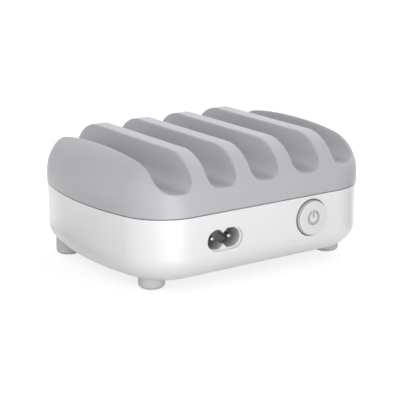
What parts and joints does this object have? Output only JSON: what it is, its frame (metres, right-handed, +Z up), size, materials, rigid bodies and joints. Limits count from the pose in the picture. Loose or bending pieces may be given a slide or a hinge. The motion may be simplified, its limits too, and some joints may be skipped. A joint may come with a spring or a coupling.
{
  "type": "charging station organizer",
  "caption": "Desk charging station: a rounded tub with a mains supply inside, under a slotted cover that stands phones and tablets on edge.",
  "frame": {"origin": "middle of the plan, in the plane of the soles of the feet", "axes": "+X along the long side, towards the button's end; -Y out of the side with the inlet and the button; +Z up"},
  "size_m": [0.13, 0.1008, 0.0578],
  "materials": {
    "cover_plastic": "fine satin texture",
    "base_plastic": "smooth semi-gloss",
    "button_plastic": "smooth semi-gloss",
    "inlet_plastic": "moulded, matte",
    "pin_metal": "bright nickel plate",
    "foot_rubber": "matte",
    "screw_steel": "zinc plate",
    "spring_steel": "drawn wire",
    "board_laminate": "solder mask",
    "switch_plastic": "moulded, matte",
    "plunger_plastic": "moulded, matte",
    "contact_gold": "gold flash",
    "fuse_plastic": "moulded, matte",
    "film_plastic": "moulded box",
    "ferrite": "pressed and fired, matte",
    "copper_wire": "enamelled wire",
    "package_plastic": "moulded, matte",
    "can_sleeve": "shrink sleeve",
    "sink_aluminium": "plain sheet",
    "former_plastic": "moulded, matte",
    "winding_tape": "tape",
    "port_steel": "bright plated sheet",
    "tongue_plastic": "moulded, matte"
  },
  "bodies": {
    "housing": {"top_cover": "cover_plastic", "base_housing": "base_plastic", "inlet_body": "inlet_plastic", "inlet_pin_left": "pin_metal", "inlet_pin_right": "pin_metal", "foot_front_left": "foot_rubber", "foot_front_right": "foot_rubber", "foot_back_left": "foot_rubber", "foot_back_right": "foot_rubber", "housing_screws": "screw_steel", "board_screws": "screw_steel", "button_spring": "spring_steel", "main_board": "board_laminate", "port_board": "board_laminate", "switch_body": "switch_plastic", "usb_contacts": "contact_gold", "fuse": "fuse_plastic", "x_capacitor": "film_plastic", "line_choke_core": "ferrite", "line_choke_winding": "copper_wire", "bridge_rectifier": "package_plastic", "bulk_capacitor": "can_sleeve", "primary_heat_sink": "sink_aluminium", "secondary_heat_sink": "sink_aluminium", "primary_transistor": "package_plastic", "output_rectifier": "package_plastic", "transformer_core": "ferrite", "transformer_bobbin": "former_plastic", "transformer_winding": "winding_tape", "output_capacitors": "can_sleeve", "usb_shell_1": "port_steel", "usb_tongue_1": "tongue_plastic", "usb_shell_2": "port_steel", "usb_tongue_2": "tongue_plastic", "usb_shell_3": "port_steel", "usb_tongue_3": "tongue_plastic", "usb_shell_4": "port_steel", "usb_tongue_4": "tongue_plastic", "usb_shell_5": "port_steel", "usb_tongue_5": "tongue_plastic"},
    "button": {"power_button": "button_plastic", "switch_plunger": "plunger_plastic"}
  },
  "joints": [
    {"name": "button_press", "type": "slide", "parent": "housing", "child": "button", "axis": [0, 1, 0], "range_m": [0, 0.0015], "stiffness_N_per_m": 500, "springref_m": -0.004, "deforming": ["button_spring"]}
  ]
}
